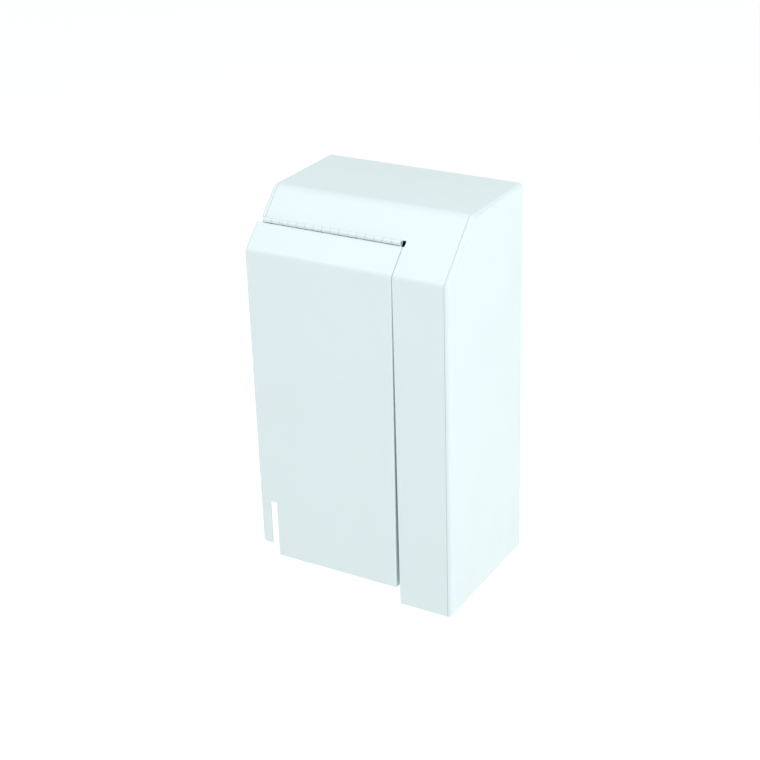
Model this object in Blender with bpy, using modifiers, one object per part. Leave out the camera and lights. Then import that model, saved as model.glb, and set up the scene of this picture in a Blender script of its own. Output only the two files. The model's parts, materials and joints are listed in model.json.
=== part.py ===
"""A wall-mounted dog waste bin of folded sheet steel.

A wide flap on the left hangs from a continuous hinge across the sloping front and covers a lift-out bucket.
The narrow fixed column on the right holds the spindle for a roll of bags, which are pulled out underneath.
Metres, +Z up, the front faces -Y, and the origin is at the middle of the base.
"""

import math

import bmesh
import bpy
from mathutils import Matrix, Vector

# Driving dimensions of the housing
WIDTH = 0.300
DEPTH = 0.212
HEIGHT = 0.550
SHEET = 0.0015  # thickness of the folded steel
GAP = 0.0003  # left between pieces that are welded or rest on each other
FACE_TOP = 0.480  # height at which the front face would meet the slope
SLOPE_RUN = 0.071
TOP_FOLD = 0.016  # outer radius between the top and the slope
FRONT_FOLD = 0.012  # outer radius between the slope and the front
SHARPEST_FOLD = 0.0005
FOLD_STEPS = 6

LEFT = -WIDTH / 2
RIGHT = WIDTH / 2
FRONT = -DEPTH / 2
BACK = DEPTH / 2
INNER_BACK = BACK - SHEET - GAP
SLOPE_ANGLE = math.atan2(HEIGHT - FACE_TOP, SLOPE_RUN)

# Side panels
FLANGE = 0.006  # width of the folded edge that the wrapper butts against
RIGHT_FOLD = 0.005
LEFT_FOLD = 0.003
LEFT_FACE = LEFT + 0.0045  # the flap's left edge wraps round the outside of this face
JAMB_WIDTH = 0.014
JAMB_INSET = 0.005  # the jamb behind the flap lies this far under the outer surface
NOTCH_BACK = -0.060  # the lower front corner of the left panel is cut away as far as this
NOTCH_TOP = 0.112

# Column on the right
STRIP_LEFT = 0.0705
PARTITION_X = 0.075
PARTITION_FLANGE = 0.012
PARTITION_FOLD = 0.002
PARTITION_BACK = 0.1009  # stops short of the back so that the mounting straps pass behind it
WINDOW_FRONT = -0.078
WINDOW_BACK = 0.088
WINDOW_BOTTOM = 0.095
WINDOW_TOP = 0.237
CHUTE_LENGTH = 0.150
CHUTE_WIDTH = 0.012
SHELF_LIP = 0.012
SHELF_FOLD = 0.003

# Hinge, measured along the slope from the line where it would meet the front
HINGE_AT = 0.047
HINGE_PROUD = 0.0008  # the pin's centre stands this far outside the sheet
HINGE_CLEAR = 0.0040  # from the pin's centre to the edges of the sheets
HINGE_LEFT = -0.1390
KNUCKLE_PITCH = 0.0129
KNUCKLE_COUNT = 16
KNUCKLE_RADIUS = 0.0035
KNUCKLE_GAP = 0.0004
PIN_RADIUS = 0.0015
BORE_RADIUS = 0.0018
LEAF_THICKNESS = 0.0012
LEAF_WIDTH = 0.028
RELIEF_WIDTH = 0.0044
RELIEF_LENGTH = 0.0090
RELIEF_X = 0.0703

# Flap
FLAP_RIGHT_TOP = 0.0700
FLAP_RIGHT_BOTTOM = 0.0652
FLAP_BOTTOM = 0.024
FLAP_RETURN = 0.012
FLAP_FOLD = 0.0025
SLOT_LEFT = -0.134
SLOT_RIGHT = -0.124
SLOT_TOP = 0.108
TONGUE_BOTTOM = 0.041
TONGUE_CHAMFER = 0.005
RAIL_HEIGHT = 0.022
RAIL_DEPTH = 0.010
RAIL_FOLD = 0.002
RAIL_END = 0.002  # from the slot to the end of the rail

# Buffers that the flap closes against
STOP_INSET = 0.0135
STOP_LEFT = 0.052
STOP_RETURN = 0.012
STOP_FOLD = 0.002
STOP_TOP = 0.450
STOP_BOTTOM = 0.060
BUFFER_RADIUS = 0.005
BUFFER_STEM = 0.0018
BUFFER_HOLE = 0.0022
BUFFER_BULB = 0.0030
BUFFER_LEFT_X = LEFT_FACE + 0.0085
BUFFER_RIGHT_X = 0.0585
BUFFER_HEIGHTS = (0.400, 0.150)

# Bucket
BUCKET_X = -0.031
BUCKET_Y = 0.006
BUCKET_SHEET = 0.0010
BUCKET_BOTTOM = SHEET + GAP
BUCKET_TOP = 0.332
BUCKET_HALF_TOP = 0.086
BUCKET_HALF_BOTTOM = 0.076
BUCKET_FRONT_BOTTOM = -0.057
BUCKET_BACK_BOTTOM = 0.084
BUCKET_CORNER = 0.018
RIM_RADIUS = 0.0025
EAR_THICKNESS = 0.003
EAR_WIDTH = 0.044
EAR_HEIGHT = 0.022
EAR_EDGE = 0.0008
PIVOT_Z = 0.310
PIVOT_HOLE = 0.0031
RIVET_RADIUS = 0.0020
RIVET_HOLE = 0.0023
RIVET_SPACING = 0.030
WIRE_RADIUS = 0.0025
BAIL_REACH = 0.0965
BAIL_DROOP = math.radians(12)
BAIL_CORNER = 0.020
BAIL_HOOK = 0.0035  # bend radius where the wire turns into the ear
BAIL_CLEAR = 0.0006  # between the arms and the rim wire
GRIP_RADIUS = 0.0055
GRIP_LENGTH = 0.090

# Bag spindle
SPINDLE_X = 0.112
SPINDLE_Z = 0.150
SPINDLE_RADIUS = 0.006
JOURNAL_RADIUS = 0.003
JOURNAL_LENGTH = 0.007
NOTCH_RADIUS = 0.0035
BRACKET_STANDOFF = 0.013
BRACKET_WEB = 0.026
BRACKET_FOOT = 0.010
BRACKET_HEIGHT = 0.040

# Mounting straps and holes in the back
STRAP_WIDTH = 0.030
STRAP_THICKNESS = 0.003
STRAP_LENGTH = 0.260
STRAP_HEIGHTS = (0.090, 0.460)
MOUNT_HOLE_X = 0.100
MOUNT_HOLE_RADIUS = 0.005

CUTTER_REACH = 0.010  # how far a cutting tool stands out of what it cuts

# Geometry helpers in the YZ plane


def along_slope(distance, inset):
    """The point this far up the slope from its sharp lower corner, and this far under the outer surface."""
    y = FRONT + distance * math.cos(SLOPE_ANGLE) + inset * math.sin(SLOPE_ANGLE)
    z = FACE_TOP + distance * math.sin(SLOPE_ANGLE) - inset * math.cos(SLOPE_ANGLE)
    return y, z


def corner_fillet(before, corner, after, radius, steps=FOLD_STEPS):
    """Points of the arc that rounds the corner of a path."""
    corner = Vector(corner)
    back = (Vector(before) - corner).normalized()
    ahead = (Vector(after) - corner).normalized()
    half = back.angle(ahead) / 2
    centre = corner + (back + ahead).normalized() * radius / math.sin(half)
    start = corner + back * radius / math.tan(half) - centre
    sweep = (math.pi - 2 * half) * math.copysign(1, back.cross(ahead))
    turned = (Matrix.Rotation(-sweep * i / steps, 2) @ start for i in range(steps + 1))
    return [tuple(centre + point) for point in turned]


def rounded_rectangle(low, high, radius):
    corners = [(low[0], low[1]), (high[0], low[1]), (high[0], high[1]), (low[0], high[1])]
    points = []
    for i, corner in enumerate(corners):
        points += corner_fillet(corners[i - 1], corner, corners[(i + 1) % 4], radius)
    return points


def rounded_slot(length, width, steps=8):
    """A slot with round ends, long in Y, about its own middle."""
    half = width / 2
    straight = length / 2 - half
    turns = [math.pi * i / steps for i in range(steps + 1)]
    upper = [(half * math.cos(t), straight + half * math.sin(t)) for t in turns]
    return upper + [(-x, -y) for x, y in upper]


def slope_crossing_front(inset):
    y = FRONT + inset
    return y, FACE_TOP + (inset * math.sin(SLOPE_ANGLE) - inset) / math.cos(SLOPE_ANGLE)


def slope_crossing_top(inset):
    z = HEIGHT - inset
    rise = z - FACE_TOP
    return FRONT + (rise * math.cos(SLOPE_ANGLE) + inset) / math.sin(SLOPE_ANGLE), z


def roof_path(inset, back):
    """The outer surface, moved inwards by inset, from the back over the top fold onto the slope."""
    start = (back, HEIGHT - inset)
    crossing = slope_crossing_top(inset)
    return [start, *corner_fillet(start, crossing, slope_crossing_front(inset), TOP_FOLD - inset)]


def front_path(inset, bottom):
    """The same surface from the slope over the front fold down to the height bottom."""
    end = (FRONT + inset, bottom)
    crossing = slope_crossing_front(inset)
    radius = max(FRONT_FOLD - inset, SHARPEST_FOLD)
    return [*corner_fillet(slope_crossing_top(inset), crossing, end, radius), end]


# Object helpers


def new_collection(name):
    made = bpy.data.collections.new(name)
    bpy.context.scene.collection.children.link(made)
    return made


def new_finish(name, colour, roughness, metallic):
    finish = bpy.data.materials.new(name)
    finish.use_nodes = True
    shader = finish.node_tree.nodes["Principled BSDF"]
    shader.inputs["Base Color"].default_value = (*colour, 1)
    shader.inputs["Roughness"].default_value = roughness
    shader.inputs["Metallic"].default_value = metallic
    finish.diffuse_color = (*colour, 1)
    return finish


def mesh_object(name, bm, finish=None):
    """Turns a bmesh into an object: a part when it has a finish, and otherwise a cutter."""
    mesh = bpy.data.meshes.new(name)
    bm.to_mesh(mesh)
    bm.free()
    obj = bpy.data.objects.new(name, mesh)
    if finish:
        mesh.materials.append(finish)
        bin_parts.objects.link(obj)
    else:
        cutters.objects.link(obj)
        obj.hide_render = True
        obj.display_type = "WIRE"
    return obj


def box(name, low, high, finish=None, edge=0.0):
    bm = bmesh.new()
    size = Vector(high) - Vector(low)
    middle = (Vector(high) + Vector(low)) / 2
    placed = Matrix.Translation(middle) @ Matrix.Diagonal((*size, 1))
    bmesh.ops.create_cube(bm, size=1, matrix=placed)
    if edge:
        bmesh.ops.bevel(bm, geom=bm.edges[:], offset=edge, segments=2, profile=0.5, affect="EDGES")
    return mesh_object(name, bm, finish)


def rod(name, start, end, radius, finish=None, sides=20):
    """A cylinder between two points."""
    start, end = Vector(start), Vector(end)
    turn = (end - start).to_track_quat("Z", "Y").to_matrix().to_4x4()
    bm = bmesh.new()
    bmesh.ops.create_cone(
        bm,
        cap_ends=True,
        segments=sides,
        radius1=radius,
        radius2=radius,
        depth=(end - start).length,
        matrix=Matrix.Translation((start + end) / 2) @ turn,
    )
    return mesh_object(name, bm, finish)


def plate(name, outline, thickness, placed, finish=None):
    """A flat outline given a thickness about its own plane, then placed by a matrix."""
    bm = bmesh.new()
    face = bm.faces.new([bm.verts.new((x, y, -thickness / 2)) for x, y in outline])
    raised = bmesh.ops.extrude_face_region(bm, geom=[face])["geom"]
    for piece in raised:
        if isinstance(piece, bmesh.types.BMVert):
            piece.co.z += thickness
    bmesh.ops.recalc_face_normals(bm, faces=bm.faces)
    obj = mesh_object(name, bm, finish)
    obj.matrix_world = placed
    return obj


def mesh_from_curve(curve_object, finish):
    """Replaces a curve object by the closed mesh that it shows."""
    graph = bpy.context.evaluated_depsgraph_get()
    mesh = bpy.data.meshes.new_from_object(curve_object.evaluated_get(graph))
    bm = bmesh.new()
    bm.from_mesh(mesh)
    bmesh.ops.remove_doubles(bm, verts=bm.verts, dist=1e-6)
    bmesh.ops.recalc_face_normals(bm, faces=bm.faces)
    name = curve_object.name
    bpy.data.objects.remove(curve_object, do_unlink=True)
    bpy.data.meshes.remove(mesh)
    return mesh_object(name, bm, finish)


def wire(name, points, radius, finish, closed=False):
    """A round wire along a path of 3D points."""
    curve = bpy.data.curves.new(name, "CURVE")
    curve.dimensions = "3D"
    curve.bevel_depth = radius
    curve.bevel_resolution = 2
    curve.use_fill_caps = not closed
    spline = curve.splines.new("POLY")
    spline.points.add(len(points) - 1)
    for point, place in zip(spline.points, points):
        point.co = (*place, 1)
    spline.use_cyclic_u = closed
    curve.materials.append(finish)
    obj = bpy.data.objects.new(name, curve)
    bin_parts.objects.link(obj)
    bpy.context.view_layer.update()
    return mesh_from_curve(obj, finish)


def turned(name, profile, place, towards, finish, steps=16):
    """A profile of (radius, height) points, from top to bottom, turned about an axis."""
    bm = bmesh.new()
    verts = [bm.verts.new((radius, 0, height)) for radius, height in profile]
    for above, below in zip(verts, verts[1:]):
        bm.edges.new((above, below))
    obj = mesh_object(name, bm, finish)
    obj.rotation_mode = "QUATERNION"
    obj.rotation_quaternion = Vector(towards).to_track_quat("Z", "Y")
    obj.location = place
    screw = obj.modifiers.new("Turn", "SCREW")
    screw.steps = steps
    screw.render_steps = steps
    screw.use_merge_vertices = True
    screw.merge_threshold = 0.00001
    obj.data.shade_smooth()
    return obj


def sheet(name, bm, outward, finish, thickness=SHEET):
    """Gives an open surface its thickness, on the side away from outward."""
    bmesh.ops.recalc_face_normals(bm, faces=bm.faces)
    bm.normal_update()
    widest = max(bm.faces, key=lambda face: face.calc_area())
    if widest.normal.dot(Vector(outward)) < 0:
        bmesh.ops.reverse_faces(bm, faces=bm.faces)
    obj = mesh_object(name, bm, finish)
    solid = obj.modifiers.new("Thickness", "SOLIDIFY")
    solid.thickness = thickness
    solid.offset = -1
    solid.use_even_offset = True
    return obj


def cut(obj, *tools):
    for tool in tools:
        change = obj.modifiers.new("Cut " + tool.name, "BOOLEAN")
        change.operation = "DIFFERENCE"
        change.object = tool


def join(obj, *tools):
    for tool in tools:
        change = obj.modifiers.new("Join " + tool.name, "BOOLEAN")
        change.operation = "UNION"
        change.object = tool


def smooth(obj, angle=35):
    obj.data.shade_smooth()
    obj.data.set_sharp_from_angle(angle=math.radians(angle))
    return obj


def on_axis(name, place, pieces):
    """Parents the pieces to an empty on their joint's axis, and leaves them where they are."""
    axis = bpy.data.objects.new(name, None)
    axis.empty_display_size = 0.03
    axis.location = place
    bin_parts.objects.link(axis)
    bpy.context.view_layer.update()
    for piece in pieces:
        piece.parent = axis
        piece.matrix_parent_inverse = axis.matrix_world.inverted()
    return axis


# Folded sheet shapes


def extrude_edges(bm, edges, step):
    """Extrudes edges and moves each new vertex by step(vertex)."""
    grown = bmesh.ops.extrude_edge_only(bm, edges=edges)["geom"]
    verts = [piece for piece in grown if isinstance(piece, bmesh.types.BMVert)]
    for vert in verts:
        vert.co += step(vert.co)
    return [piece for piece in grown if isinstance(piece, bmesh.types.BMEdge)], verts


def fold_edges(bm, edges, radius, steps=4):
    bmesh.ops.bevel(
        bm,
        geom=edges,
        offset=radius,
        segments=steps,
        profile=0.5,
        affect="EDGES",
        clamp_overlap=False,
    )


def folded_panel(name, flanged, plain, face_x, width, radius, outward, finish):
    """A flat panel at X = face_x whose edges along the flanged points are folded by width(point)."""
    bm = bmesh.new()
    verts = [bm.verts.new((face_x, y, z)) for y, z in (*flanged, *plain)]
    bm.faces.new(verts)
    edges = [bm.edges.get(pair) for pair in zip(verts, verts[1 : len(flanged)])]
    extrude_edges(bm, edges, lambda co: Vector((width(co), 0, 0)))
    fold_edges(bm, edges, radius)
    return smooth(sheet(name, bm, outward, finish))


def bent_strip(bm, path, left, right):
    """A strip from X = left to X = right(point) along a YZ path; returns its two edge chains."""
    verts = [bm.verts.new((left, y, z)) for y, z in path]
    chain = [bm.edges.new(pair) for pair in zip(verts, verts[1:])]
    _, far = extrude_edges(bm, chain, lambda co: Vector((right(co) - left, 0, 0)))
    far_chain = [edge for edge in bm.edges if edge.verts[0] in far and edge.verts[1] in far]
    return chain, far_chain


def fold_return(bm, chain, outer, inner, radius):
    """Folds the edge chain of a bent strip inwards, from the outer path to the inner path."""
    steps = {}
    for edge in chain:
        for vert in edge.verts:
            near = min(range(len(outer)), key=lambda i: (Vector(outer[i]) - vert.co.yz).length)
            steps[vert.co.copy().freeze()] = Vector((0, *(Vector(inner[near]) - Vector(outer[near]))))
    extrude_edges(bm, chain, lambda co: steps[co.copy().freeze()])
    fold_edges(bm, chain, radius, 3)


# Hinge frame: X along the pin, Y up the slope, Z out of the surface

HINGE_YZ = along_slope(HINGE_AT, -HINGE_PROUD)
HINGE_FRAME = Matrix.Translation((0, *HINGE_YZ)) @ Matrix.Rotation(SLOPE_ANGLE, 4, "X")
UPPER_EDGE = HINGE_AT + HINGE_CLEAR
LOWER_EDGE = HINGE_AT - HINGE_CLEAR
SHEET_OUT = (0, -1, 0)


def on_hinge_axis(left, right):
    return [HINGE_FRAME @ Vector((x, 0, 0)) for x in (left, right)]


def slope_relief():
    """The oblong hole at the hinge's right end, where the cut-out's corner is relieved."""
    placed = HINGE_FRAME @ Matrix.Translation((RELIEF_X, 0, -HINGE_PROUD))
    return plate("relief_cutter", rounded_slot(RELIEF_LENGTH, RELIEF_WIDTH), CUTTER_REACH, placed)


def build_wrapper():
    """Top, upper slope and the fixed strip down the right of the front, in one folded sheet."""
    roof = roof_path(0, BACK) + [along_slope(UPPER_EDGE, 0)]
    path = roof + front_path(0, 0)
    left = LEFT_FACE + FLANGE + GAP
    right = RIGHT - FLANGE - GAP
    bm = bmesh.new()
    verts = [bm.verts.new((STRIP_LEFT, y, z)) for y, z in path]
    chain = [bm.edges.new(pair) for pair in zip(verts, verts[1:])]
    extrude_edges(bm, chain, lambda co: Vector((right - STRIP_LEFT, 0, 0)))
    extrude_edges(bm, chain[: len(roof) - 1], lambda co: Vector((left - STRIP_LEFT, 0, 0)))
    wrapper = sheet("housing_wrapper", bm, SHEET_OUT, white_coat)
    cut(wrapper, relief)
    return smooth(wrapper)


def build_right_panel():
    outline = roof_path(0, BACK) + front_path(0, 0) + [(BACK, 0)]
    return folded_panel(
        "right_side_panel", outline, [], RIGHT, lambda co: -FLANGE, RIGHT_FOLD, (1, 0, 0), white_coat
    )


def left_flange_width(co):
    """Wide where the flange is the flap's jamb, and narrow where the wrapper and the shelf meet it."""
    behind_flap = co.z < along_slope(LOWER_EDGE, 0)[1] and co.y < NOTCH_BACK - 0.001
    return JAMB_WIDTH if behind_flap else FLANGE


def build_left_panel():
    hinge_step = [along_slope(UPPER_EDGE, 0), along_slope(UPPER_EDGE, JAMB_INSET)]
    jamb = front_path(JAMB_INSET, NOTCH_TOP)
    notch = [(NOTCH_BACK, NOTCH_TOP), (NOTCH_BACK, 0)]
    outline = roof_path(0, BACK) + hinge_step + jamb + notch + [(BACK, 0)]
    panel = folded_panel(
        "left_side_panel", outline, [], LEFT_FACE, left_flange_width, LEFT_FOLD, (-1, 0, 0), white_coat
    )
    for number, height in enumerate(BUFFER_HEIGHTS, 1):
        cut(panel, buffer_hole(f"jamb_hole_{number}", BUFFER_LEFT_X, height, JAMB_INSET))
    return panel


def build_back_panel():
    low = (LEFT_FACE + SHEET + GAP, SHEET + GAP)
    high = (RIGHT - SHEET - GAP, HEIGHT - SHEET - GAP)
    placed = Matrix.Translation((0, BACK - SHEET / 2, 0)) @ Matrix.Rotation(math.pi / 2, 4, "X")
    panel = plate("back_panel", rounded_rectangle(low, high, RIGHT_FOLD), SHEET, placed, white_coat)
    cut(panel, *mount_holes)
    return panel


def build_straps():
    made = []
    for name, height in zip(("mounting_strap_lower", "mounting_strap_upper"), STRAP_HEIGHTS):
        low = (-STRAP_LENGTH / 2, INNER_BACK - STRAP_THICKNESS, height - STRAP_WIDTH / 2)
        high = (STRAP_LENGTH / 2, INNER_BACK, height + STRAP_WIDTH / 2)
        strap = box(name, low, high, zinc_steel)
        cut(strap, *(hole for hole in mount_holes if abs(hole["height"] - height) < STRAP_WIDTH))
        made.append(strap)
    return made


def build_mount_holes():
    holes = []
    for height in STRAP_HEIGHTS:
        for x in (-MOUNT_HOLE_X, MOUNT_HOLE_X):
            number = len(holes) + 1
            start = (x, BACK - CUTTER_REACH, height)
            end = (x, BACK + CUTTER_REACH, height)
            hole = rod(f"mount_hole_cutter_{number}", start, end, MOUNT_HOLE_RADIUS, sides=24)
            hole["height"] = height
            holes.append(hole)
    return holes


def build_partition():
    """The wall between the bucket's compartment and the column, with a window for changing the roll."""
    inset = SHEET + GAP
    outline = roof_path(inset, PARTITION_BACK) + front_path(inset, 0)
    panel = folded_panel(
        "partition_panel",
        outline,
        [(PARTITION_BACK, 0)],
        PARTITION_X,
        lambda co: PARTITION_FLANGE,
        PARTITION_FOLD,
        (-1, 0, 0),
        white_coat,
    )
    low = (PARTITION_X - CUTTER_REACH, WINDOW_FRONT, WINDOW_BOTTOM)
    high = (PARTITION_X + CUTTER_REACH, WINDOW_BACK, WINDOW_TOP)
    cut(panel, box("window_cutter", low, high))
    return panel


def build_base_shelf():
    """The bucket's shelf: set back from the front, with a lip that keeps the bucket in."""
    path = [(NOTCH_BACK, SHELF_LIP), (NOTCH_BACK, 0), (INNER_BACK, 0)]
    bm = bmesh.new()
    bent_strip(bm, path, LEFT_FACE + FLANGE + GAP, lambda co: PARTITION_X - GAP)
    corner = [edge for edge in bm.edges if all(v.co.z == 0 and v.co.y < 0 for v in edge.verts)]
    fold_edges(bm, corner, SHELF_FOLD)
    return smooth(sheet("base_shelf", bm, (0, 0, -1), white_coat))


def build_column_floor():
    low = (PARTITION_X + SHEET + GAP, FRONT + 2 * (SHEET + GAP), 0)
    high = (RIGHT - FLANGE - GAP, INNER_BACK, SHEET)
    floor = box("column_floor", low, high, white_coat)
    placed = Matrix.Translation((SPINDLE_X, 0, 0))
    cut(floor, plate("chute_cutter", rounded_slot(CHUTE_LENGTH, CHUTE_WIDTH), CUTTER_REACH, placed))
    return floor


def build_stop_strip():
    """The angle beside the partition that carries the flap's right-hand buffers."""
    path = [(FRONT + STOP_INSET, STOP_TOP), (FRONT + STOP_INSET, STOP_BOTTOM)]
    behind = [(y + STOP_RETURN, z) for y, z in path]
    bm = bmesh.new()
    chains = bent_strip(bm, path, STOP_LEFT, lambda co: PARTITION_X - GAP)
    fold_return(bm, chains[1], path, behind, STOP_FOLD)
    strip = sheet("flap_stop_strip", bm, SHEET_OUT, white_coat)
    for number, height in enumerate(BUFFER_HEIGHTS, 1):
        cut(strip, buffer_hole(f"stop_hole_{number}", BUFFER_RIGHT_X, height, STOP_INSET))
    return smooth(strip)


def buffer_hole(name, x, height, inset):
    start = (x, FRONT + inset - SHEET, height)
    return rod(name, start, (x, FRONT + inset + 2 * SHEET, height), BUFFER_HOLE, sides=16)


def build_buffers():
    """Rubber buffers pushed through holes in the jamb and the stop strip."""
    places = {"left": (BUFFER_LEFT_X, JAMB_INSET), "right": (BUFFER_RIGHT_X, STOP_INSET)}
    buffers = []
    for side, (x, inset) in places.items():
        head = inset - SHEET - 2 * GAP
        tail = -SHEET - 2 * GAP
        profile = [
            (0, head),
            (BUFFER_RADIUS - 0.0012, head),
            (BUFFER_RADIUS, head - 0.0010),
            (BUFFER_RADIUS, 0),
            (BUFFER_STEM, 0),
            (BUFFER_STEM, tail),
            (BUFFER_BULB, tail),
            (BUFFER_STEM, tail - 0.0035),
            (0, tail - 0.0035),
        ]
        for level, height in zip(("upper", "lower"), BUFFER_HEIGHTS):
            place = (x, FRONT + inset - GAP, height)
            buffers.append(turned(f"flap_buffer_{level}_{side}", profile, place, (0, -1, 0), black_rubber))
    return buffers


def flap_right_edge(co):
    """The flap narrows a little towards its bottom, so the gap beside it widens."""
    share = min(max((FACE_TOP - co.z) / (FACE_TOP - FLAP_BOTTOM), 0), 1)
    return FLAP_RIGHT_TOP + (FLAP_RIGHT_BOTTOM - FLAP_RIGHT_TOP) * share


def flap_cutters():
    """The slot with the shorter tongue beside it, and the end of the left return above the tongue."""
    below = -CUTTER_REACH
    outside = LEFT - CUTTER_REACH
    chamfer_top = TONGUE_BOTTOM + TONGUE_CHAMFER
    outline = [
        (outside, below),
        (outside, chamfer_top),
        (LEFT, chamfer_top),
        (LEFT + TONGUE_CHAMFER, TONGUE_BOTTOM),
        (SLOT_LEFT, TONGUE_BOTTOM),
        (SLOT_LEFT, SLOT_TOP),
        (SLOT_RIGHT, SLOT_TOP),
        (SLOT_RIGHT, below),
    ]
    placed = Matrix.Translation((0, FRONT, 0)) @ Matrix.Rotation(math.pi / 2, 4, "X")
    slot = plate("slot_cutter", outline, CUTTER_REACH, placed)
    low = (outside, FRONT + SHEET + 0.001, below)
    high = (SLOT_LEFT, FRONT + 0.03, NOTCH_TOP)
    return slot, box("return_cutter", low, high)


def build_flap_panel():
    outer = [along_slope(LOWER_EDGE, 0)] + front_path(0, FLAP_BOTTOM)
    inner = [along_slope(LOWER_EDGE, FLAP_RETURN)] + front_path(FLAP_RETURN, FLAP_BOTTOM)
    bm = bmesh.new()
    for chain in bent_strip(bm, outer, LEFT, flap_right_edge):
        fold_return(bm, chain, outer, inner, FLAP_FOLD)
    flap = sheet("flap_panel", bm, SHEET_OUT, white_coat)
    cut(flap, relief, *flap_cutters())
    return smooth(flap)


def build_flap_rail():
    """The angle welded inside the flap's bottom edge, which fingers lift it by."""
    front = FRONT + SHEET + GAP
    path = [(front, FLAP_BOTTOM + RAIL_HEIGHT), (front, FLAP_BOTTOM), (front + RAIL_DEPTH, FLAP_BOTTOM)]
    right = FLAP_RIGHT_BOTTOM - 2 * FLAP_FOLD
    bm = bmesh.new()
    bent_strip(bm, path, SLOT_RIGHT + RAIL_END, lambda co: right)
    corner = [edge for edge in bm.edges if all(v.co.yz == Vector(path[1]) for v in edge.verts)]
    fold_edges(bm, corner, RAIL_FOLD, 3)
    return smooth(sheet("flap_bottom_rail", bm, SHEET_OUT, white_coat))


def build_leaf(name, side, first):
    """One leaf of the continuous hinge: side is 1 above the pin and -1 below, first its first knuckle."""
    length = KNUCKLE_PITCH * KNUCKLE_COUNT
    edge = side * (HINGE_CLEAR + 0.0003)
    far = side * LEAF_WIDTH
    starts = [HINGE_LEFT + KNUCKLE_PITCH * i for i in range(first, KNUCKLE_COUNT, 2)]
    comb = [(HINGE_LEFT, far), (HINGE_LEFT, edge)]
    for start in starts:
        left = start + 2 * KNUCKLE_GAP
        right = start + KNUCKLE_PITCH - 2 * KNUCKLE_GAP
        comb += [(left, edge), (left, 0), (right, 0), (right, edge)]
    comb += [(HINGE_LEFT + length, edge), (HINGE_LEFT + length, far)]
    middle = -HINGE_PROUD - SHEET - GAP - LEAF_THICKNESS / 2
    leaf = plate(name, comb, LEAF_THICKNESS, HINGE_FRAME @ Matrix.Translation((0, 0, middle)), hinge_steel)
    for start in starts:
        ends = on_hinge_axis(start + KNUCKLE_GAP / 2, start + KNUCKLE_PITCH - KNUCKLE_GAP / 2)
        join(leaf, rod(f"{name}_knuckle", *ends, KNUCKLE_RADIUS))
    ends = on_hinge_axis(HINGE_LEFT - CUTTER_REACH, HINGE_LEFT + length + CUTTER_REACH)
    cut(leaf, rod(f"{name}_bore", *ends, BORE_RADIUS))
    return smooth(leaf)


def build_pin():
    ends = on_hinge_axis(HINGE_LEFT, HINGE_LEFT + KNUCKLE_PITCH * KNUCKLE_COUNT)
    return smooth(rod("hinge_pin", *ends, PIN_RADIUS, zinc_steel, 16))


def build_bucket():
    """A tapered open box with rounded corners."""
    bm = bmesh.new()
    bmesh.ops.create_cube(bm, size=2)
    for vert in bm.verts:
        x, y, z = vert.co
        if z > 0:
            vert.co = (BUCKET_X + x * BUCKET_HALF_TOP, BUCKET_Y + y * BUCKET_HALF_TOP, BUCKET_TOP)
        else:
            depth = BUCKET_BACK_BOTTOM if y > 0 else BUCKET_FRONT_BOTTOM
            vert.co = (BUCKET_X + x * BUCKET_HALF_BOTTOM, depth, BUCKET_BOTTOM)
    lid = max(bm.faces, key=lambda face: face.calc_center_median().z)
    bmesh.ops.delete(bm, geom=[lid], context="FACES_ONLY")
    upright = [edge for edge in bm.edges if abs(edge.verts[0].co.z - edge.verts[1].co.z) > 0.1]
    fold_edges(bm, upright, BUCKET_CORNER, 5)
    bucket = sheet("liner_bucket", bm, (0, -1, 0), galvanised, BUCKET_SHEET)
    for side in (-1, 1):
        cut(bucket, *rivet_holes("bucket", side))
    return smooth(bucket)


def rivet_places(side):
    x = BUCKET_X + side * BUCKET_HALF_TOP
    return [(x, BUCKET_Y + end * RIVET_SPACING / 2, PIVOT_Z) for end in (-1, 1)]


def rivet_holes(piece, side):
    holes = []
    for number, (x, y, z) in enumerate(rivet_places(side), 1):
        name = f"{piece}_rivet_hole_{'left' if side < 0 else 'right'}_{number}"
        ends = [(x + along, y, z) for along in (-CUTTER_REACH, CUTTER_REACH)]
        holes.append(rod(name, *ends, RIVET_HOLE, sides=16))
    return holes


def build_rim_wire():
    """The wire round the bucket's rim, just outside its wall."""
    reach = BUCKET_HALF_TOP + GAP + RIM_RADIUS
    z = BUCKET_TOP - RIM_RADIUS - 0.001
    low = (BUCKET_X - reach, BUCKET_Y - reach)
    high = (BUCKET_X + reach, BUCKET_Y + reach)
    points = [(x, y, z) for x, y in rounded_rectangle(low, high, BUCKET_CORNER + RIM_RADIUS)]
    return smooth(wire("bucket_rim_wire", points, RIM_RADIUS, galvanised, closed=True), 60)


def ear_face(side):
    """X of the ear's inner face."""
    return BUCKET_X + side * (BUCKET_HALF_TOP + GAP)


def build_ears():
    ears = []
    for side, label in ((-1, "left"), (1, "right")):
        x = sorted((ear_face(side), ear_face(side) + side * EAR_THICKNESS))
        low = (x[0], BUCKET_Y - EAR_WIDTH / 2, PIVOT_Z - EAR_HEIGHT / 2)
        high = (x[1], BUCKET_Y + EAR_WIDTH / 2, PIVOT_Z + EAR_HEIGHT / 2)
        ear = box(f"bucket_ear_{label}", low, high, galvanised, EAR_EDGE)
        ends = [(ear_face(side) + along, BUCKET_Y, PIVOT_Z) for along in (-CUTTER_REACH, CUTTER_REACH)]
        cut(ear, rod(f"pivot_hole_{label}", *ends, PIVOT_HOLE), *rivet_holes("ear", side))
        ears.append(ear)
    return ears


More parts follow.
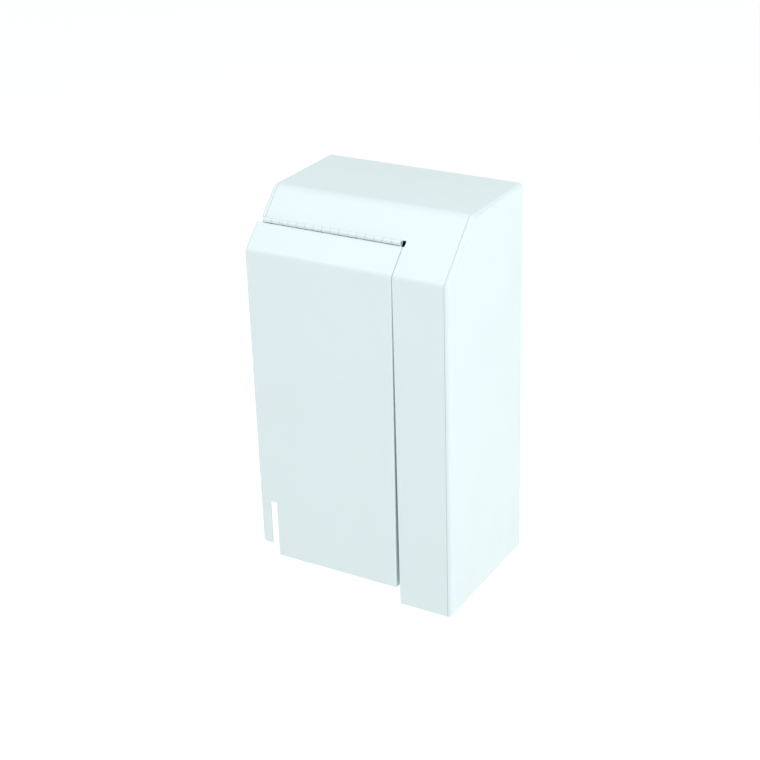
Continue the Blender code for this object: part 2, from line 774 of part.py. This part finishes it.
def build_ear_rivets():
    rivets = []
    inner = -BUCKET_SHEET - 0.0016
    outer = EAR_THICKNESS + 2 * GAP
    profile = [
        (0, outer + 0.0013),
        (RIVET_RADIUS * 1.2, outer + 0.0010),
        (RIVET_RADIUS * 1.9, outer),
        (RIVET_RADIUS, outer),
        (RIVET_RADIUS, inner),
        (RIVET_RADIUS * 1.7, inner),
        (RIVET_RADIUS * 1.2, inner - 0.0008),
        (0, inner - 0.0010),
    ]
    for side, label in ((-1, "left"), (1, "right")):
        for end, (_, y, z) in zip(("front", "rear"), rivet_places(side)):
            place = (BUCKET_X + side * BUCKET_HALF_TOP, y, z)
            name = f"ear_rivet_{label}_{end}"
            rivets.append(turned(name, profile, place, (side, 0, 0), galvanised, 12))
    return rivets


def bail_point(x, reach):
    """A point of the bail, reach forward of the pivot along its drooping arms."""
    return x, BUCKET_Y - reach * math.cos(BAIL_DROOP), PIVOT_Z - reach * math.sin(BAIL_DROOP)


def build_bail():
    """A wire handle whose arms pass outside the rim wire and whose ends hook inwards through the ears."""
    arm = BUCKET_HALF_TOP + GAP + 2 * RIM_RADIUS + BAIL_CLEAR + WIRE_RADIUS
    tip = BUCKET_HALF_TOP + 4 * GAP
    half = [(tip, 0), *corner_fillet((tip, 0), (arm, 0), (arm, 1), BAIL_HOOK, 4)]
    half += corner_fillet((arm, 0), (arm, BAIL_REACH), (0, BAIL_REACH), BAIL_CORNER)
    right = [bail_point(BUCKET_X + x, reach) for x, reach in half]
    left = [bail_point(BUCKET_X - x, reach) for x, reach in reversed(half)]
    return smooth(wire("bucket_bail", right + left, WIRE_RADIUS, galvanised), 60)


def build_grip():
    """A tube round the middle of the bail, bored for the wire."""
    ends = [bail_point(BUCKET_X + side * GRIP_LENGTH / 2, BAIL_REACH) for side in (-1, 1)]
    grip = rod("bail_grip", *ends, GRIP_RADIUS, black_plastic, 24)
    bore = [bail_point(BUCKET_X + side * GRIP_LENGTH, BAIL_REACH) for side in (-1, 1)]
    cut(grip, rod("grip_bore", *bore, WIRE_RADIUS + GAP))
    return smooth(grip)


def bracket_path(wall, into):
    """XY path of a hat section that stands off a wall facing along Y."""
    half = BRACKET_WEB / 2
    end = half + BRACKET_FOOT
    foot = wall + into * SHEET
    web = wall + into * BRACKET_STANDOFF
    return [(-end, foot), (-half, foot), (-half, web), (half, web), (half, foot), (end, foot)]


def build_bracket(name, wall, into):
    """A hat-section bracket with an open-topped notch for the spindle's journal."""
    path = bracket_path(wall, into)
    bm = bmesh.new()
    verts = [bm.verts.new((SPINDLE_X + x, y, SPINDLE_Z - BRACKET_HEIGHT / 2)) for x, y in path]
    chain = [bm.edges.new(pair) for pair in zip(verts, verts[1:])]
    extrude_edges(bm, chain, lambda co: Vector((0, 0, BRACKET_HEIGHT)))
    bracket = sheet(name, bm, (0, into, 0), zinc_steel)
    top = SPINDLE_Z + BRACKET_HEIGHT
    turns = [math.pi + math.pi * i / 8 for i in range(9)]
    notch = [(NOTCH_RADIUS * math.cos(t), NOTCH_RADIUS * math.sin(t)) for t in turns]
    notch += [(NOTCH_RADIUS, top - SPINDLE_Z), (-NOTCH_RADIUS, top - SPINDLE_Z)]
    middle = Matrix.Translation((SPINDLE_X, wall + into * BRACKET_STANDOFF, SPINDLE_Z))
    placed = middle @ Matrix.Rotation(math.pi / 2, 4, "X")
    cut(bracket, plate(f"{name}_notch_cutter", notch, CUTTER_REACH, placed))
    return bracket


def build_spindle():
    """The rod that carries the roll of bags, with a thinner journal at each end."""
    front = FRONT + SHEET + GAP + BRACKET_STANDOFF + GAP
    back = INNER_BACK - BRACKET_STANDOFF - GAP
    half = (back - front) / 2
    profile = [
        (0, half + JOURNAL_LENGTH),
        (JOURNAL_RADIUS, half + JOURNAL_LENGTH),
        (JOURNAL_RADIUS, half),
        (SPINDLE_RADIUS, half),
        (SPINDLE_RADIUS, -half),
        (JOURNAL_RADIUS, -half),
        (JOURNAL_RADIUS, -half - JOURNAL_LENGTH),
        (0, -half - JOURNAL_LENGTH),
    ]
    place = (SPINDLE_X, (front + back) / 2, SPINDLE_Z)
    spindle = turned("bag_spindle", profile, place, (0, 1, 0), zinc_steel, 20)
    spindle.data.set_sharp_from_angle(angle=math.radians(35))
    return spindle


for leftover in list(bpy.data.objects):
    bpy.data.objects.remove(leftover, do_unlink=True)

bin_parts = new_collection("dog_waste_bin")
cutters = new_collection("cutters")

white_coat = new_finish("white_powder_coat", (0.88, 0.92, 0.93), 0.35, 0.0)
hinge_steel = new_finish("coated_hinge_steel", (0.86, 0.90, 0.91), 0.38, 0.0)
zinc_steel = new_finish("zinc_plated_steel", (0.66, 0.68, 0.70), 0.35, 1.0)
galvanised = new_finish("galvanised_steel", (0.60, 0.62, 0.64), 0.45, 1.0)
black_rubber = new_finish("black_rubber", (0.03, 0.03, 0.03), 0.80, 0.0)
black_plastic = new_finish("black_plastic", (0.04, 0.04, 0.04), 0.50, 0.0)

relief = slope_relief()
mount_holes = build_mount_holes()

build_wrapper()
build_right_panel()
build_left_panel()
build_back_panel()
build_partition()
build_base_shelf()
build_column_floor()
build_stop_strip()
build_straps()
build_buffers()
build_leaf("hinge_fixed_leaf", 1, 0)
build_pin()
build_bracket("spindle_bracket_front", FRONT + SHEET + GAP, 1)
build_bracket("spindle_bracket_rear", INNER_BACK, -1)

flap_pieces = [build_flap_panel(), build_flap_rail(), build_leaf("hinge_moving_leaf", -1, 1)]
on_axis("flap_hinge_axis", (0, *HINGE_YZ), flap_pieces)

build_bucket()
build_rim_wire()
build_ears()
build_ear_rivets()
on_axis("bail_axis", (BUCKET_X, BUCKET_Y, PIVOT_Z), [build_bail(), build_grip()])
build_spindle()
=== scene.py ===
"""The looks of a white powder-coated dog waste bin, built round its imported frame."""

import json
import math

import bmesh
import bpy
from mathutils import Matrix, Vector

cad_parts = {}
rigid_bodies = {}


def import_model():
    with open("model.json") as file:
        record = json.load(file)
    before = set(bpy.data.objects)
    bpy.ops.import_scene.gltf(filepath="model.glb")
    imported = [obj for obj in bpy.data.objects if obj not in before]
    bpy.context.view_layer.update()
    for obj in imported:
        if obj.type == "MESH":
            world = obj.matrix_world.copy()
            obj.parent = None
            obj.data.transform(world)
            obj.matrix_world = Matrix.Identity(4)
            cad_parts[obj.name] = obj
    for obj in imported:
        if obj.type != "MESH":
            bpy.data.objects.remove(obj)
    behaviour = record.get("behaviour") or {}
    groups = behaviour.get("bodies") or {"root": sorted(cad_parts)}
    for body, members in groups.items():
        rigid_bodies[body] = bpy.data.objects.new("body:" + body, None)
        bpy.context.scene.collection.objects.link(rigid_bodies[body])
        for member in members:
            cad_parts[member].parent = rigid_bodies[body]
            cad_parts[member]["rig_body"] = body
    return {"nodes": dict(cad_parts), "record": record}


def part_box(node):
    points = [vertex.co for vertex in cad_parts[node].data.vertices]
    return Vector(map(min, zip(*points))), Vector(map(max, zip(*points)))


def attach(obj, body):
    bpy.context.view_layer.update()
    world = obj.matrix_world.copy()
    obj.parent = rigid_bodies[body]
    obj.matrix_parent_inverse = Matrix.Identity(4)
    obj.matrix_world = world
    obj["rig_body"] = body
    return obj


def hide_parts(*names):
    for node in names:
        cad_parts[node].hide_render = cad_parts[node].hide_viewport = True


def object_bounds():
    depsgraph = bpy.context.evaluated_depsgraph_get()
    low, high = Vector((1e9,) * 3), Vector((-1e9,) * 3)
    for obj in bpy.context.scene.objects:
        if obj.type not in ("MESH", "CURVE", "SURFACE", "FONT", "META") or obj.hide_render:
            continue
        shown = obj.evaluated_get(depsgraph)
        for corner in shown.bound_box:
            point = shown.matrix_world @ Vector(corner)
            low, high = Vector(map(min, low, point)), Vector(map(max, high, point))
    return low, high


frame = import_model()
cad_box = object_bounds()
nodes = frame["nodes"]

MILLIMETRE = 0.001

# How the CAD solids are finished
EDGE_MARK = "rounded_edge"
EDGE_ROUNDING = 0.35 * MILLIMETRE
MERGE_DISTANCE = 0.01 * MILLIMETRE
FLAT_ANGLE = math.radians(0.5)  # faces that turn less than this are merged
CREASE_ANGLE = math.radians(40)  # edges that turn more than this are rounded

# Camera: a place, three turns and a lens in millimetres
CAMERA_AZIMUTH = math.radians(30.49)
CAMERA_ELEVATION = math.radians(25.20)
CAMERA_ROLL = math.radians(-1.76)
CAMERA_PLACE = Vector((1.0330, -1.7768, 1.2463))
CAMERA_LENS = 78.7
SENSOR_WIDTH = 36

# Studio
BIN_MIDDLE = (0, 0, 0.28)
FLOOR_DEPTH = 0.90  # the bin hangs this far above the floor
FLOOR_SIZE = 200
STUDIO_BRIGHTNESS = 0.515

# The folded outline that the seams follow, in metres
FRONT = cad_box[0][1]
BACK = cad_box[1][1]
TOP = cad_box[1][2]
FACE_TOP = 0.480  # height at which the front face would meet the slope
SLOPE_RUN = 0.071
TOP_FOLD = 0.016  # outer radius between the top and the slope
FRONT_FOLD = 0.012  # outer radius between the slope and the front
FOLD_STEPS = 6
SLOPE_TO_HINGE = 0.0421  # from the top fold's end down to the hinge

SLOPE_ANGLE = math.atan2(TOP - FACE_TOP, SLOPE_RUN)
FRONT_SWEEP = math.pi / 2 - SLOPE_ANGLE
TOP_TANGENT = TOP_FOLD * math.tan(SLOPE_ANGLE / 2)  # from a fold's corner to its end
FRONT_TANGENT = FRONT_FOLD * math.tan(FRONT_SWEEP / 2)
TOP_FOLD_CENTRE = (0, FRONT + SLOPE_RUN + TOP_TANGENT, TOP - TOP_FOLD)
FRONT_FOLD_CENTRE = (0, FRONT + FRONT_FOLD, FACE_TOP - FRONT_TANGENT)
SLOPE_LENGTH = math.hypot(SLOPE_RUN, TOP - FACE_TOP) - TOP_TANGENT - FRONT_TANGENT

# Seams between the wrapper and the side panels
SEAM_INSET = 6.15 * MILLIMETRE  # from a side panel's outer face to the middle of its seam
SEAM_WIDTH = 0.34 * MILLIMETRE
SEAM_DEPTH = 0.22 * MILLIMETRE  # the paint lies this far under the surface
SEAM_THICKNESS = 0.8 * MILLIMETRE
SEAM_CREASE = math.radians(30)
SAME_WAY = 0.99  # cosine above which a face counts as facing a direction
SAME_PLACE = 0.1 * MILLIMETRE


# Shader helpers


class Value:
    """A shader socket that can be used in arithmetic."""

    def __init__(self, maker, socket):
        self.maker = maker
        self.socket = socket

    def maths(self, operation, *others):
        """This value and the others put through one Math node."""
        node = self.maker.add("ShaderNodeMath", {"operation": operation}, dict(enumerate((self, *others))))
        return node.out(0)

    def __add__(self, other):
        return self.maths("ADD", other)

    def __radd__(self, other):
        return self.maths("ADD", other)

    def __rsub__(self, other):
        return (self * -1) + other

    def __mul__(self, other):
        return self.maths("MULTIPLY", other)


class Node:
    """A shader node whose outputs are values."""

    def __init__(self, maker, node):
        self.maker = maker
        self.node = node

    def out(self, name):
        return Value(self.maker, self.node.outputs[name])


class Finish:
    """A material and the shader nodes added to it."""

    def __init__(self, name):
        self.material = bpy.data.materials.new(name)
        self.material.use_nodes = True
        self.tree = self.material.node_tree
        self.shader = self.tree.nodes["Principled BSDF"]

    def add(self, kind, settings=None, inputs=None):
        """A new shader node of this kind, with its settings and its inputs filled in."""
        node = self.tree.nodes.new(kind)
        for name, value in (settings or {}).items():
            setattr(node, name, value)
        for name, value in (inputs or {}).items():
            self.feed(node.inputs[name], value)
        return Node(self, node)

    def feed(self, socket, value):
        """Links a value to a socket, or sets a plain number or colour on it."""
        if isinstance(value, Value):
            self.tree.links.new(value.socket, socket)
        else:
            socket.default_value = value

    def set(self, **values):
        """Sets or links the shader's inputs, named in lower case with underscores."""
        for name, value in values.items():
            self.feed(self.shader.inputs[name.replace("_", " ").title().replace("Ior", "IOR")], value)

    def place(self):
        """The point on the piece, in its own coordinates."""
        return self.add("ShaderNodeTexCoord").out("Object")

    def noise(self, scale, detail=3.0, roughness=0.5, stretch=None):
        """Cloudy noise of this scale, drawn out where stretch is small."""
        where = self.place()
        if stretch:
            where = self.add("ShaderNodeMapping", {}, {"Vector": where, "Scale": stretch}).out("Vector")
        inputs = {"Vector": where, "Scale": scale, "Detail": detail, "Roughness": roughness}
        return self.add("ShaderNodeTexNoise", {}, inputs).out("Fac")

    def cells(self, scale):
        """Voronoi cells, such as the crystals of zinc."""
        return self.add("ShaderNodeTexVoronoi", {}, {"Vector": self.place(), "Scale": scale})

    def ramp(self, value, low, high):
        """value spread from 0 at low to 1 at high."""
        inputs = {"Value": value, "From Min": low, "From Max": high}
        return self.add("ShaderNodeMapRange", {"clamp": True}, inputs).out("Result")

    def mix(self, share, first, second):
        """The first colour with this share of the second in it."""
        node = self.tree.nodes.new("ShaderNodeMix")
        node.data_type = "RGBA"
        self.feed(node.inputs["Factor"], share)
        for socket, colour in zip([s for s in node.inputs if s.type == "RGBA"], (first, second)):
            self.feed(socket, colour if isinstance(colour, Value) else (*colour, 1))
        return Value(self, next(s for s in node.outputs if s.type == "RGBA"))

    def bump(self, height, distance, strength=1.0, under=None):
        """A normal from this height, laid over another normal where one is given."""
        inputs = {"Height": height, "Distance": distance, "Strength": strength}
        if under:
            inputs["Normal"] = under
        return self.add("ShaderNodeBump", {}, inputs).out("Normal")

    def worn_edges(self):
        """Patches of wear that keep to the rounded edges of a piece."""
        edge = self.add("ShaderNodeAttribute", {"attribute_name": EDGE_MARK}).out("Fac")
        return edge * self.ramp(self.noise(140.0, 5.0, 0.65), 0.42, 0.62)


# Finishes


def powder_coat(name, tint):
    """Smooth white powder coat: fine orange peel, faint dust low down, thinner paint along the edges."""
    coat = Finish(name)
    broad = coat.noise(7.0, 3.0)
    peel = coat.noise(900.0, 2.0, 0.45)
    long_wave = coat.noise(130.0, 2.0, 0.4)
    height = coat.add("ShaderNodeSeparateXYZ", {}, {"Vector": coat.place()}).out("Z")
    dust = coat.ramp(height, 0.16, 0.0) * coat.ramp(coat.noise(26.0, 5.0, 0.6), 0.45, 0.75)
    shade = coat.mix(coat.ramp(broad, 0.35, 0.65), tint, [channel * 0.985 for channel in tint])
    shade = coat.mix(dust * 0.10, shade, (0.70, 0.71, 0.68))
    shade = coat.mix(coat.worn_edges() * 0.35, shade, (0.52, 0.60, 0.61))
    coat.set(base_color=shade)
    coat.set(roughness=0.34 + broad * 0.08 + dust * 0.15)
    coat.set(ior=1.5)
    coarse = coat.bump(long_wave, 0.00006, 0.35)
    coat.set(normal=coat.bump(peel, 0.00003, 0.5, coarse))
    return coat.material


def hinge_coat():
    """The same coat on the hinge, rubbed thinner by its turning."""
    coat = Finish("white coat on hinge")
    rubbed = coat.worn_edges()
    coat.set(base_color=coat.mix(rubbed * 0.5, (0.70, 0.81, 0.82), (0.48, 0.53, 0.54)))
    coat.set(roughness=0.38 + coat.noise(60.0) * 0.12)
    coat.set(metallic=rubbed * 0.5)
    coat.set(normal=coat.bump(coat.noise(700.0, 2.0), 0.00004, 0.5))
    return coat.material


def galvanised_zinc():
    """Hot-dip zinc: interlocking spangle of slightly different greys, with matt patches."""
    zinc = Finish("hot dip galvanised steel")
    flakes = zinc.cells(90.0)
    grain = zinc.add("ShaderNodeSeparateColor", {}, {"Color": flakes.out("Color")}).out("Red")
    matt = zinc.noise(14.0, 4.0)
    shade = zinc.mix(grain, (0.47, 0.49, 0.51), (0.66, 0.68, 0.70))
    zinc.set(base_color=zinc.mix(zinc.ramp(matt, 0.5, 0.75) * 0.4, shade, (0.62, 0.63, 0.63)))
    zinc.set(metallic=0.9)
    zinc.set(roughness=0.34 + grain * 0.16 + matt * 0.14)
    zinc.set(normal=zinc.bump(flakes.out("Distance"), 0.0004, 0.12))
    return zinc.material


def bright_zinc():
    """Bright zinc plate over drawn steel, with fine drawing lines and fingered patches."""
    plate = Finish("bright zinc plate")
    drawn = plate.noise(500.0, 3.0, 0.6, (0.04, 1.0, 1.0))
    patches = plate.noise(22.0, 4.0)
    plate.set(base_color=plate.mix(patches, (0.60, 0.62, 0.64), (0.72, 0.72, 0.69)))
    plate.set(metallic=1.0)
    plate.set(roughness=0.22 + drawn * 0.14 + patches * 0.08)
    plate.set(normal=plate.bump(drawn, 0.00003, 0.4))
    return plate.material


def buffer_rubber():
    """Matt black rubber with a dusty bloom."""
    rubber = Finish("black rubber")
    bloom = rubber.ramp(rubber.noise(240.0, 4.0, 0.6), 0.45, 0.75)
    rubber.set(base_color=rubber.mix(bloom * 0.5, (0.018, 0.018, 0.019), (0.06, 0.06, 0.06)))
    rubber.set(roughness=0.72 + bloom * 0.18)
    rubber.set(normal=rubber.bump(rubber.noise(1500.0, 2.0), 0.00004, 0.5))
    return rubber.material


def grip_plastic():
    """Black moulded plastic with a fine spark texture, polished where it is held."""
    plastic = Finish("black moulded plastic")
    spark = plastic.noise(1300.0, 2.0, 0.6)
    held = plastic.ramp(plastic.noise(45.0, 3.0), 0.4, 0.7)
    plastic.set(base_color=plastic.mix(held, (0.030, 0.030, 0.032), (0.045, 0.045, 0.047)))
    plastic.set(roughness=0.52 - held * 0.14 + spark * 0.05)
    plastic.set(normal=plastic.bump(spark, 0.00005, 0.5))
    return plastic.material


# Pieces


def only_select(piece):
    """Leaves this piece the only one selected, and makes it active."""
    bpy.ops.object.select_all(action="DESELECT")
    bpy.context.view_layer.objects.active = piece
    piece.select_set(True)


def apply_modifier(piece, kind, **settings):
    """Adds a modifier with these settings and applies it at once."""
    only_select(piece)
    modifier = piece.modifiers.new(kind.title(), kind)
    for name, value in settings.items():
        setattr(modifier, name, value)
    bpy.ops.object.modifier_apply(modifier=modifier.name)


def body_of_node(node):
    return nodes[node]["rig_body"]


def slot_of_node(node):
    return next(row["material_slot"] for row in frame["record"]["subparts"] if row["node"] == node)


def mark_edges(piece):
    """Turns the second material of the rounded edges into a mark that the finishes read."""
    mesh = piece.data
    mark = mesh.attributes.new(EDGE_MARK, "FLOAT", "CORNER")
    for face in mesh.polygons:
        for corner in face.loop_indices:
            mark.data[corner].value = face.material_index
        face.material_index = 0
    mesh.materials.pop(index=1)


def finished_copy(node, material):
    """A copy of a CAD node with merged faces, rounded sheet edges and smooth folds, which stands for it."""
    copy = bpy.data.objects.new(node + "_finished", nodes[node].data.copy())
    bpy.context.scene.collection.objects.link(copy)
    only_select(copy)
    bpy.ops.object.mode_set(mode="EDIT")
    bpy.ops.mesh.select_all(action="SELECT")
    bpy.ops.mesh.remove_doubles(threshold=MERGE_DISTANCE)
    bpy.ops.mesh.dissolve_limited(angle_limit=FLAT_ANGLE)
    bpy.ops.object.mode_set(mode="OBJECT")
    copy.data.materials.clear()
    copy.data.materials.append(material)
    copy.data.materials.append(material)
    apply_modifier(
        copy,
        "BEVEL",
        width=EDGE_ROUNDING,
        segments=2,
        limit_method="ANGLE",
        angle_limit=CREASE_ANGLE,
        use_clamp_overlap=True,
        material=1,
    )
    mark_edges(copy)
    bpy.ops.object.shade_smooth_by_angle(angle=CREASE_ANGLE)
    apply_modifier(copy, "TRIANGULATE")
    apply_modifier(copy, "WEIGHTED_NORMAL", mode="FACE_AREA", weight=90, keep_sharp=True)
    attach(copy, body_of_node(node))
    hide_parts(node)


SLOT_FINISH = {
    "white_powder_coat": powder_coat("white powder coat", (0.70, 0.81, 0.825)),
    "coated_hinge_steel": hinge_coat(),
    "zinc_plated_steel": bright_zinc(),
    "galvanised_steel": galvanised_zinc(),
    "black_rubber": buffer_rubber(),
    "black_plastic": grip_plastic(),
}
for node_name in sorted(nodes):
    finished_copy(node_name, SLOT_FINISH[slot_of_node(node_name)])


# Seams


def select_faces(piece, towards):
    """Leaves only the faces selected whose normal points this way, and that lie furthest along it."""
    mesh = bmesh.from_edit_mesh(piece.data)
    towards = Vector(towards)
    facing = [face for face in mesh.faces if face.normal.dot(towards) > SAME_WAY]
    furthest = max(face.calc_center_median().dot(towards) for face in facing)
    for face in mesh.faces:
        reach = face.calc_center_median().dot(towards)
        face.select_set(face in facing and reach > furthest - SAME_PLACE)
    bmesh.update_edit_mesh(piece.data)


def extrude_by(step):
    bpy.ops.mesh.extrude_region_move(TRANSFORM_OT_translate={"value": step})


def seam_filler(name, x, slope_end, reaches_front):
    """A paint-filled seam just under the surface, from the back over the top and down the slope."""
    length = BACK - TOP_FOLD_CENTRE[1]
    middle = (x, (BACK + TOP_FOLD_CENTRE[1]) / 2, TOP - SEAM_DEPTH - SEAM_THICKNESS / 2)
    size = (SEAM_WIDTH, length, SEAM_THICKNESS)
    bpy.ops.object.select_all(action="DESELECT")
    bpy.ops.mesh.primitive_cube_add(size=1, location=middle, scale=size)
    seam = bpy.context.object
    seam.name = name
    bpy.ops.object.transform_apply()
    bpy.ops.object.mode_set(mode="EDIT")
    down_slope = (0, -math.cos(SLOPE_ANGLE), -math.sin(SLOPE_ANGLE))
    select_faces(seam, (0, -1, 0))
    bpy.ops.mesh.spin(steps=FOLD_STEPS, angle=SLOPE_ANGLE, center=TOP_FOLD_CENTRE, axis=(1, 0, 0))
    select_faces(seam, down_slope)
    extrude_by(Vector(down_slope) * slope_end)
    if reaches_front:
        select_faces(seam, down_slope)
        bpy.ops.mesh.spin(steps=FOLD_STEPS, angle=FRONT_SWEEP, center=FRONT_FOLD_CENTRE, axis=(1, 0, 0))
        select_faces(seam, (0, 0, -1))
        extrude_by((0, 0, -FRONT_FOLD_CENTRE[2]))
    bpy.ops.mesh.select_all(action="SELECT")
    bpy.ops.mesh.normals_make_consistent(inside=False)
    bpy.ops.object.mode_set(mode="OBJECT")
    bpy.ops.object.shade_smooth_by_angle(angle=SEAM_CREASE)
    seam.data.materials.append(SLOT_FINISH["white_powder_coat"])
    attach(seam, "housing")


right_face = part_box("right_side_panel")[1][0]
left_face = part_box("left_side_panel")[0][0]
seam_filler("right_seam_filler", right_face - SEAM_INSET, SLOPE_LENGTH, True)
seam_filler("left_seam_filler", left_face + SEAM_INSET, SLOPE_TO_HINGE, False)


# Stage, lights and camera


def add_floor():
    """A plain pale floor that runs on to the horizon."""
    bpy.ops.mesh.primitive_plane_add(size=FLOOR_SIZE, location=(0, 0, -FLOOR_DEPTH))
    floor = bpy.context.object
    floor.name = "studio_floor"
    pale = Finish("pale studio floor")
    pale.set(base_color=(0.93, 0.94, 0.94, 1))
    pale.set(roughness=0.9)
    floor.data.materials.append(pale.material)


def add_softbox(name, place, aim, size, power):
    """A round soft light that the camera doesn't see, with its size in metres and its power in watts."""
    light = bpy.data.lights.new(name, "AREA")
    light.shape = "DISK"
    light.size = size
    light.energy = power
    lamp = bpy.data.objects.new(name, light)
    lamp.location = place
    lamp.rotation_euler = (Vector(aim) - Vector(place)).to_track_quat("-Z", "Y").to_euler()
    lamp.visible_camera = False
    bpy.context.scene.collection.objects.link(lamp)


def add_world():
    """Even white light from all round."""
    world = bpy.data.worlds.new("white studio")
    world.use_nodes = True
    sky = world.node_tree.nodes["Background"]
    sky.inputs["Color"].default_value = (1, 1, 1, 1)
    sky.inputs["Strength"].default_value = STUDIO_BRIGHTNESS
    bpy.context.scene.world = world


def add_camera():
    """Stands the camera at its place, turned by its azimuth and elevation and rolled about its view."""
    level = Vector((math.cos(CAMERA_AZIMUTH), math.sin(CAMERA_AZIMUTH), 0))
    back = Vector(
        (
            math.sin(CAMERA_AZIMUTH) * math.cos(CAMERA_ELEVATION),
            -math.cos(CAMERA_AZIMUTH) * math.cos(CAMERA_ELEVATION),
            math.sin(CAMERA_ELEVATION),
        )
    )
    upright = back.cross(level)
    right = level * math.cos(CAMERA_ROLL) + upright * math.sin(CAMERA_ROLL)
    up = upright * math.cos(CAMERA_ROLL) - level * math.sin(CAMERA_ROLL)
    data = bpy.data.cameras.new("camera")
    data.lens = CAMERA_LENS
    data.sensor_width = SENSOR_WIDTH
    camera = bpy.data.objects.new("camera", data)
    turn = Matrix((right, up, back)).transposed().to_4x4()
    camera.matrix_world = Matrix.Translation(CAMERA_PLACE) @ turn
    bpy.context.scene.collection.objects.link(camera)
    bpy.context.scene.camera = camera


add_floor()
add_world()
add_softbox("side key light", (2.48, -0.78, 1.99), BIN_MIDDLE, 1.4, 42)
add_softbox("overhead front light", (-0.96, -1.2, 2.13), BIN_MIDDLE, 1.2, 13.5)
add_softbox("top light", (0, 0.1, 2.4), BIN_MIDDLE, 1.2, 6.8)
add_softbox("floor light", (0, 0, -0.1), (0, 0, -FLOOR_DEPTH), 40.0, 2100)
add_camera()
bpy.context.scene.view_settings.view_transform = "Standard"
